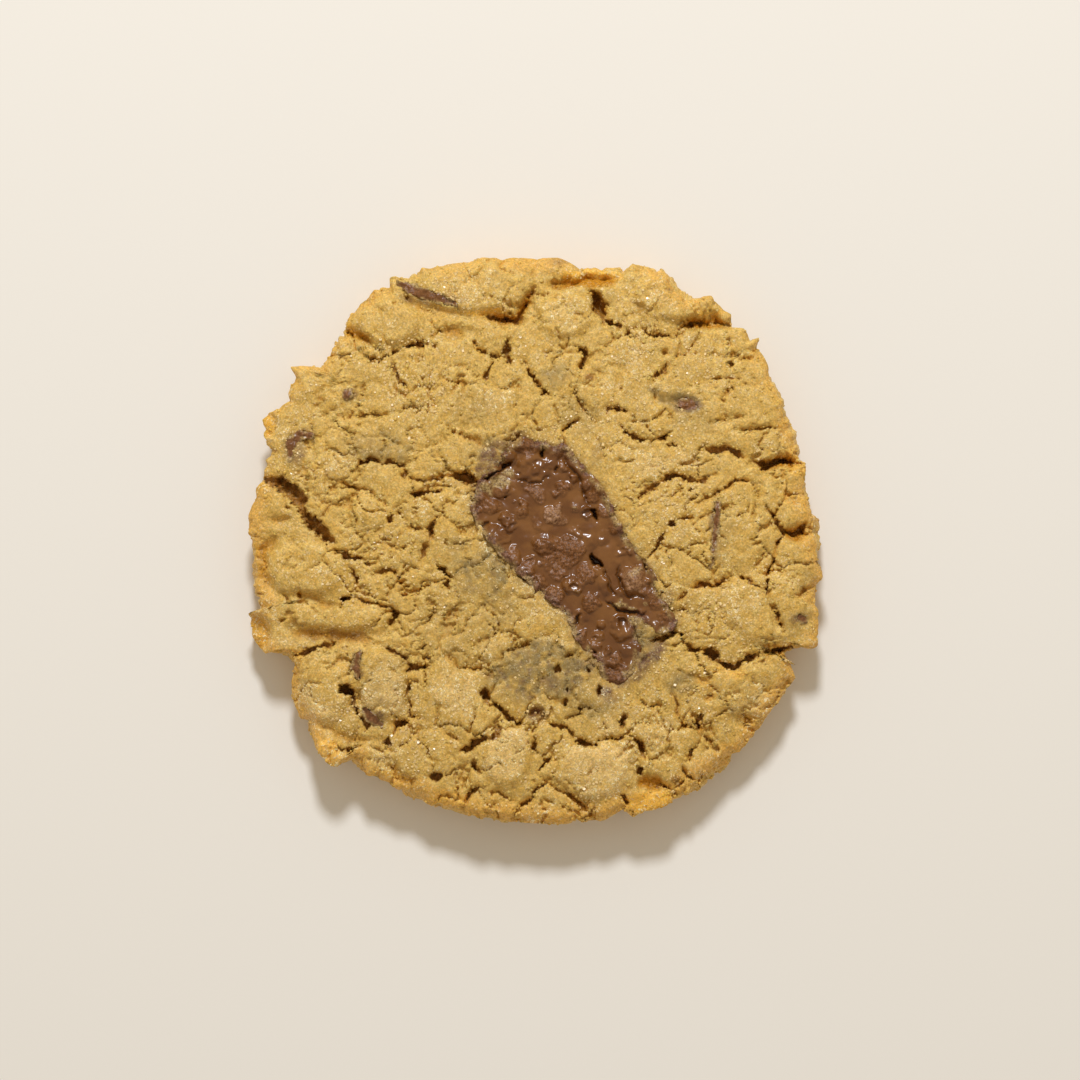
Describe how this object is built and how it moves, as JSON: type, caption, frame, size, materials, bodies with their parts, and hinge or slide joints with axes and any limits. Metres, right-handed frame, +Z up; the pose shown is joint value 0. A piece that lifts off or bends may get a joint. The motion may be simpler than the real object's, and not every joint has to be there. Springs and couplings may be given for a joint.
{
  "type": "peanut butter cookie",
  "caption": "Round cracked peanut butter cookie with a baked-in slab and shards of crisped-rice chocolate.",
  "frame": {"origin": "under the middle of the cookie, on the flat baked underside", "axes": "+Z up through the cookie, +Y towards its back edge, +X to the right"},
  "size_m": [0.0924, 0.0908, 0.013],
  "materials": {
    "dough": "matt golden baked dough with fine sugar crystals",
    "chocolate": "melted and set milk chocolate, satin to glossy"
  },
  "bodies": {
    "root": {"dough": "dough", "chocolate_slab": "chocolate", "chocolate_shard_1": "chocolate", "chocolate_shard_2": "chocolate", "chocolate_shard_3": "chocolate", "chocolate_shard_4": "chocolate", "chocolate_shard_5": "chocolate", "chocolate_shard_6": "chocolate", "chocolate_shard_7": "chocolate", "chocolate_shard_8": "chocolate"}
  },
  "joints": []
}
